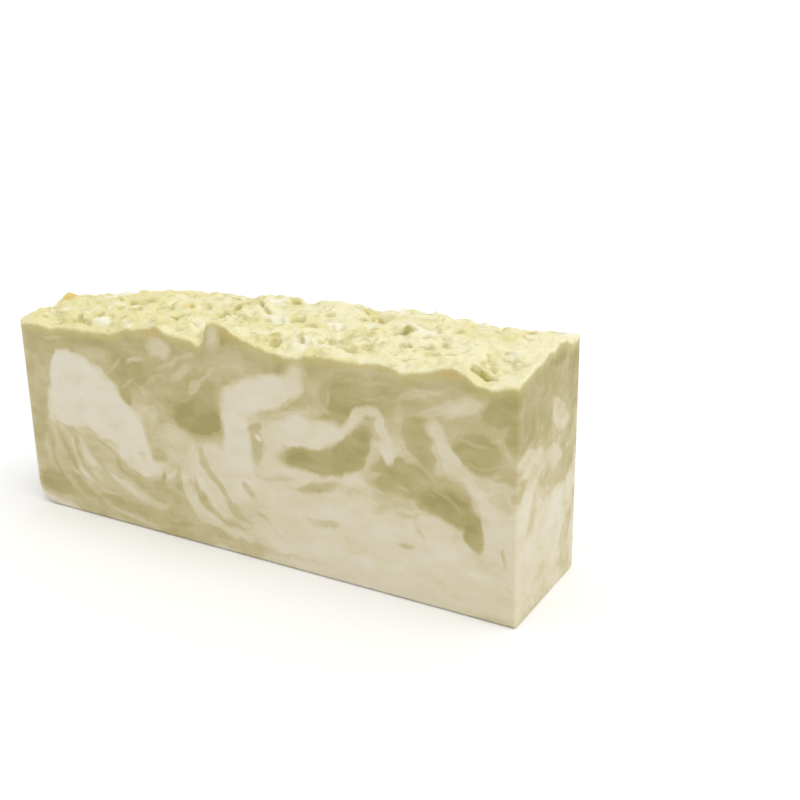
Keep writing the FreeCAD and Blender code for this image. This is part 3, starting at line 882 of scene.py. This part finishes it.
# How strongly each shows. A ramp is where it starts and ends, then its values there unless they
# are 0 and 1.
soapPattern = {
    "wander": 7.0,
    "quiver": 1.6,
    "drift": (95.0, 0.0, 42.0),
    "driftFrom": (-2.0, 10.0),  # ramp along Y, so that only the back drifts
    "driftEnds": (80.0, 108.0, 1.0, 0.0),  # ramp to both ends, where the walls meet
    "drag": (0.3, 0.0, 0.2),
    "dragEvery": 8,
    "broad": (0.36, 0.64, 0.15, 0.85),
    "height": (30.0, 72.0, -0.12, 0.28),  # darker batter was poured last
    "bandCount": 7.0,
    "bandSlow": (0.02, 0.02, 0.02),
    "bands": 0.5,
    "streaks": 0.34,
    "clouds": 0.50,
    "rimRagged": 0.36,
    "rim": (0.72, 0.98),
    "rimOlive": (0.10, 0.90, 0.0, 0.70),
    "rindOnTop": 0.35,
    "topRise": 0.0012,  # paler towards the cut end
    "topBroad": (0.42, 0.62),
    "topOlive": (0.60, 0.74, 0.0, 0.55),
    "topAsh": (0.58, 0.70, 0.0, 0.7),
    "topAmber": (0.66, 0.76, 0.0, 0.5),
    "ragged": 4.0,
    "raggedStretch": (0.55, 1.0, 0.8),
    "flake": 3.6,  # size of a small flake
    # how strongly the cracks show, both in the bump and in their painted shade
    "cracks": (0.01, 0.16, 0.42, 0.0),
    "fineFlake": 1.7,
    "fineCracks": (0.01, 0.22, 0.18, 0.0),
    "crackPatches": (0.50, 0.66),
    # painted shade in the top's hollows, by their depth
    "hollow": (0.06, 0.8, 0.0, 0.92),
    "creaseDepth": -1.4,
    "smears": 0.25,
    "bump": {"Strength": 0.6, "Distance": 0.0006},
    "wallRoughness": (0.3, 0.7, 0.40, 0.52),
    "topRoughness": 0.62,
    "underSkin": {
        "Subsurface Weight": 0.25, "Subsurface Radius": (1.0, 0.8, 0.45), "Subsurface Scale": 0.002},
}


# helpers for the shader

def addNode(tree, kind, inputs=None, **settings):
    node = tree.nodes.new(kind)
    for name, value in settings.items():
        setattr(node, name, value)
    for name, value in (inputs or {}).items():
        socket = node.inputs[name]
        if isinstance(value, bpy.types.NodeSocket):
            tree.links.new(value, socket)
        else:
            socket.default_value = value
    return node


def math2(tree, operation, first, second=0.0, third=0.0, clamp=False):
    inputs = {0: first, 1: second, 2: third}
    return addNode(tree, "ShaderNodeMath", inputs, operation=operation, use_clamp=clamp).outputs[0]


def vectorMath(tree, operation, first, second=(0, 0, 0), third=(0, 0, 0)):
    last = {"Scale": second} if operation == "SCALE" else {1: second, 2: third}
    node = addNode(tree, "ShaderNodeVectorMath", {0: first, **last}, operation=operation)
    return node.outputs["Value"] if operation == "LENGTH" else node.outputs[0]


def splitUp(tree, vector):
    return addNode(tree, "ShaderNodeSeparateXYZ", {0: vector}).outputs


def ramp(tree, value, fromLow, fromHigh, toLow=0.0, toHigh=1.0):
    node = addNode(tree, "ShaderNodeMapRange", {
        "Value": value, "From Min": fromLow, "From Max": fromHigh, "To Min": toLow, "To Max": toHigh,
    }, interpolation_type="SMOOTHSTEP")
    return node.outputs["Result"]


def mixValue(tree, factor, under, over):
    node = addNode(tree, "ShaderNodeMix", {0: factor, 2: under, 3: over}, data_type="FLOAT")
    return node.outputs[0]


def mixColour(tree, factor, under, over):
    inputs = {0: factor, 6: under, 7: over}
    node = addNode(tree, "ShaderNodeMix", {
        index: (*value, 1.0) if isinstance(value, tuple) else value for index, value in inputs.items()
    }, data_type="RGBA")
    return node.outputs[2]


def noise(tree, place, kind, colour=False):
    size, detail, rough, *stretch = soapNoise[kind]
    if stretch:
        place = vectorMath(tree, "MULTIPLY", place, stretch[0])
    node = addNode(tree, "ShaderNodeTexNoise", {
        "Vector": place, "Scale": 1.0 / size, "Detail": detail, "Roughness": rough})
    return node.outputs["Color" if colour else "Fac"]


# noise as a push, up to half a unit each way
def sway(tree, place, kind):
    return vectorMath(tree, "SUBTRACT", noise(tree, place, kind, True), (0.5, 0.5, 0.5))


# adds a noise or pattern to a value, as much up as down
def stir(tree, value, pattern, strength, clamp=False):
    centred = math2(tree, "MULTIPLY_ADD", pattern, strength, -strength / 2)
    return math2(tree, "ADD", value, centred, clamp=clamp)


# one stroke of batter over the ones before it
def layStroke(tree, place, under, stroke, axis, wall, depth):
    along, up, halfLength, halfWidth, turn, tone, softness, strength, *sag = stroke
    turn = math.radians(turn)
    if axis == "top":
        middle, turned, size = (along, up, wall), (0, 0, turn), (halfLength, halfWidth, depth)
    elif axis == "front":
        middle, turned, size = (along, wall, up), (0, -turn, 0), (halfLength, depth, halfWidth)
    else:
        middle, turned, size = (wall, along, up), (turn, 0, 0), (depth, halfLength, halfWidth)
    local = addNode(tree, "ShaderNodeMapping", {
        "Vector": place, "Location": middle, "Rotation": turned, "Scale": size}, vector_type="TEXTURE").outputs[0]
    if sag:
        parts = splitUp(tree, local)
        lengthAxis, widthAxis = {"top": (0, 1), "front": (0, 2), "end": (1, 2)}[axis]
        squared = math2(tree, "MULTIPLY", parts[lengthAxis], parts[lengthAxis])
        bent = {0: parts[0], 1: parts[1], 2: parts[2]}
        bent[widthAxis] = math2(tree, "MULTIPLY_ADD", squared, -sag[0] / halfWidth, parts[widthAxis])
        local = addNode(tree, "ShaderNodeCombineXYZ", bent).outputs[0]
    reach = vectorMath(tree, "LENGTH", local)
    mask = ramp(tree, reach, 1.0 + 0.25 * softness, 1.0 - softness, 0.0, strength)
    return mixValue(tree, mask, under, tone)


# every few strokes, the ones already laid drag the next along by a hair
def layStrokes(tree, place, tone, strokes, axis, wall, depth):
    dragged = place
    for number, stroke in enumerate(strokes):
        if number % soapPattern["dragEvery"] == 0 and number > 0:
            dragged = vectorMath(tree, "MULTIPLY_ADD", tone, soapPattern["drag"], place)
        tone = layStroke(tree, dragged, tone, stroke, axis, wall, depth)
    return tone


# the front's flow for the back wall too, pulled about on its way through the loaf
def foldBack(tree, place, warped):
    shape = soapPattern
    parts = splitUp(tree, place)
    ends = ramp(tree, math2(tree, "ABSOLUTE", parts[0]), *shape["driftEnds"])
    behind = math2(tree, "MULTIPLY", ramp(tree, parts[1], *shape["driftFrom"]), ends)
    drift = vectorMath(tree, "SCALE", sway(tree, place, "drift"), behind)
    drifted = vectorMath(tree, "ADD", warped, vectorMath(tree, "MULTIPLY", drift, shape["drift"]))
    inFront = vectorMath(tree, "MULTIPLY", vectorMath(tree, "ABSOLUTE", drifted), (0.0, -1.0, 0.0))
    return vectorMath(tree, "MULTIPLY_ADD", drifted, (1.0, 0.0, 1.0), inFront)


# tone of the marbling all through the loaf
def makeTone(tree, place, warped, clouds):
    shape = soapPattern
    tone = ramp(tree, noise(tree, warped, "broad"), *shape["broad"])
    high = ramp(tree, splitUp(tree, place)[2], *shape["height"])
    tone = math2(tree, "ADD", tone, high, clamp=True)
    folded = foldBack(tree, place, warped)
    tone = layStrokes(tree, folded, tone, frontStrokes, *strokeWalls["front"])
    tone = layStrokes(tree, warped, tone, cutStrokes, *strokeWalls["cutEnd"])
    tone = layStrokes(tree, warped, tone, mouldedStrokes, *strokeWalls["mouldedEnd"])

    # thin bands along the outlines of the strokes, fading out at both ends of the tones
    slow = vectorMath(tree, "MULTIPLY", warped, shape["bandSlow"])
    level = math2(tree, "MULTIPLY", tone, shape["bandCount"])
    level = addNode(tree, "ShaderNodeCombineXYZ", {0: level}).outputs[0]
    bands = noise(tree, vectorMath(tree, "ADD", level, slow), "bands")
    between = math2(tree, "SUBTRACT", 1.0, tone)
    between = math2(tree, "MULTIPLY", between, math2(tree, "MULTIPLY", tone, 4.0))
    strength = math2(tree, "MULTIPLY", between, shape["bands"])
    bands = math2(tree, "MULTIPLY", math2(tree, "SUBTRACT", bands, 0.5), strength)
    tone = math2(tree, "ADD", tone, bands, clamp=True)

    # fine streaks and mottling
    tone = stir(tree, tone, noise(tree, warped, "streaks"), shape["streaks"])
    return stir(tree, tone, clouds, shape["clouds"], clamp=True)


def marbleColour(tree, tone):
    colours = addNode(tree, "ShaderNodeValToRGB", {0: tone})
    points = colours.color_ramp.elements
    while len(points) < len(soapColour["marble"]):
        points.new(0.5)
    for point, (position, colour) in zip(points, soapColour["marble"]):
        point.position = position
        point.color = (*colour, 1.0)
    return colours.outputs[0]


# colour of the broken top before the painted shade in its cracks and hollows
def makeTopColour(tree, place, warped):
    shape = soapPattern
    across = splitUp(tree, place)[0]
    broad = math2(tree, "MULTIPLY_ADD", across, shape["topRise"], noise(tree, warped, "topBroad"))
    broad = ramp(tree, broad, *shape["topBroad"])
    colour = mixColour(tree, broad, soapColour["topPale"], soapColour["topCream"])
    olive = ramp(tree, noise(tree, warped, "topOlive"), *shape["topOlive"])
    colour = mixColour(tree, olive, colour, soapColour["topOlive"])
    for name, spots, shift in (("topAsh", ashSpots, (40, 9, 5)), ("topAmber", amberSpots, (7, 31, 0))):
        shifted = vectorMath(tree, "ADD", warped, shift)
        patches = ramp(tree, noise(tree, shifted, name), *shape[name])
        patches = layStrokes(tree, warped, patches, spots, *strokeWalls["top"])
        colour = mixColour(tree, patches, colour, soapColour[name])
    spots = layStrokes(tree, warped, 0.0, oliveSpots, *strokeWalls["top"])
    return mixColour(tree, spots, colour, soapColour["topOlive"])


# some value in the cracks between small flakes, in patches, and 0 elsewhere; it sinks them in the bump and darkens
# them with painted shade
def makeCracks(tree, place, ragged, size, shape, patches):
    edge = addNode(tree, "ShaderNodeTexVoronoi", {
        "Vector": ragged, "Scale": 1.0 / size}, feature="DISTANCE_TO_EDGE").outputs["Distance"]
    patches = ramp(tree, noise(tree, place, patches), *soapPattern["crackPatches"])
    return math2(tree, "MULTIPLY", ramp(tree, edge, *shape), patches)


# crumbs and flakes on the top, faint drag marks on the walls
def makeRelief(tree, place, ragged, creaseReliefAndShade, top):
    shape = soapPattern
    flakes = addNode(tree, "ShaderNodeTexVoronoi", {"Vector": ragged, "Scale": 1.0 / shape["flake"]}, feature="F1")
    flakes = splitUp(tree, flakes.outputs["Color"])[0]
    crumbs = math2(tree, "ADD", flakes, noise(tree, place, "crumbs"))
    crumbs = math2(tree, "MULTIPLY_ADD", creaseReliefAndShade, shape["creaseDepth"], crumbs)
    smears = math2(tree, "MULTIPLY", noise(tree, place, "smears"), shape["smears"])
    relief = mixValue(tree, top, smears, crumbs)
    return addNode(tree, "ShaderNodeBump", {"Height": relief, **shape["bump"]}).outputs[0]


def makeSoapMaterial():
    soap = bpy.data.materials.new("marbledSoap")
    soap.use_nodes = True
    tree = soap.node_tree
    shader = tree.nodes["Principled BSDF"]
    shape = soapPattern
    place = vectorMath(tree, "SCALE", addNode(tree, "ShaderNodeTexCoord").outputs["Object"], toMm)

    # the pour's own wander, so that no stroke has a drawn outline
    wander = vectorMath(tree, "SCALE", sway(tree, place, "wander"), shape["wander"])
    quiver = sway(tree, place, "quiver")
    warped = vectorMath(tree, "ADD", place, wander)
    warped = vectorMath(tree, "ADD", warped, vectorMath(tree, "SCALE", quiver, shape["quiver"]))
    clouds = noise(tree, warped, "clouds")
    marble = marbleColour(tree, makeTone(tree, place, warped, clouds))

    # the pale broken top and its soft edge along the rim
    rim = addNode(tree, "ShaderNodeAttribute", attribute_name="rim").outputs["Fac"]
    rim = stir(tree, rim, noise(tree, place, "rim"), shape["rimRagged"])
    top = ramp(tree, rim, *shape["rim"])
    hollow = addNode(tree, "ShaderNodeAttribute", attribute_name="hollow").outputs["Fac"]
    topColour = makeTopColour(tree, place, warped)
    ragged = vectorMath(tree, "ADD", place, vectorMath(tree, "SCALE", quiver, shape["ragged"]))
    ragged = vectorMath(tree, "MULTIPLY", ragged, shape["raggedStretch"])
    cracks = makeCracks(tree, place, ragged, shape["flake"], shape["cracks"], "crackPatches")
    fineCracks = makeCracks(tree, place, ragged, shape["fineFlake"], shape["fineCracks"], "finePatches")
    creaseReliefAndShade = math2(tree, "MAXIMUM", cracks, fineCracks)
    # painted shade: the top's colour is darkened in the cracks between small flakes
    topColour = mixColour(tree, creaseReliefAndShade, topColour, soapColour["topCreaseShade"])
    # painted shade: the top's colour is darkened in its hollows
    topColour = mixColour(tree, ramp(tree, hollow, *shape["hollow"]), topColour, soapColour["topHollowShade"])

    # olive just under the rim, and rind across it
    rind = layStrokes(tree, warped, 0.0, rindSpots, *strokeWalls["rind"])
    marble = mixColour(tree, ramp(tree, rim, *shape["rimOlive"]), marble, soapColour["rimOlive"])
    marble = mixColour(tree, rind, marble, soapColour["rind"])
    rindOnTop = math2(tree, "MULTIPLY", rind, shape["rindOnTop"])
    topColour = mixColour(tree, rindOnTop, topColour, soapColour["rind"])
    tree.links.new(mixColour(tree, top, marble, topColour), shader.inputs["Base Color"])

    tree.links.new(makeRelief(tree, place, ragged, creaseReliefAndShade, top), shader.inputs["Normal"])
    roughness = mixValue(tree, top, ramp(tree, clouds, *shape["wallRoughness"]), shape["topRoughness"])
    tree.links.new(roughness, shader.inputs["Roughness"])
    for name, value in shape["underSkin"].items():
        shader.inputs[name].default_value = value
    print("soap material:", len(tree.nodes), "nodes")
    return soap


loaf = makeLoaf()
settleLoaf(loaf)
pressDown(loaf)
heights = rimHeights(loaf)
thinLoaf(loaf, heights)
markHollowShade(loaf)
markRim(loaf, heights)
loaf.data.materials.clear()
loaf.data.materials.append(makeSoapMaterial())
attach(loaf, "root")
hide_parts("soap_loaf")
makeCamera()
makeStudio()
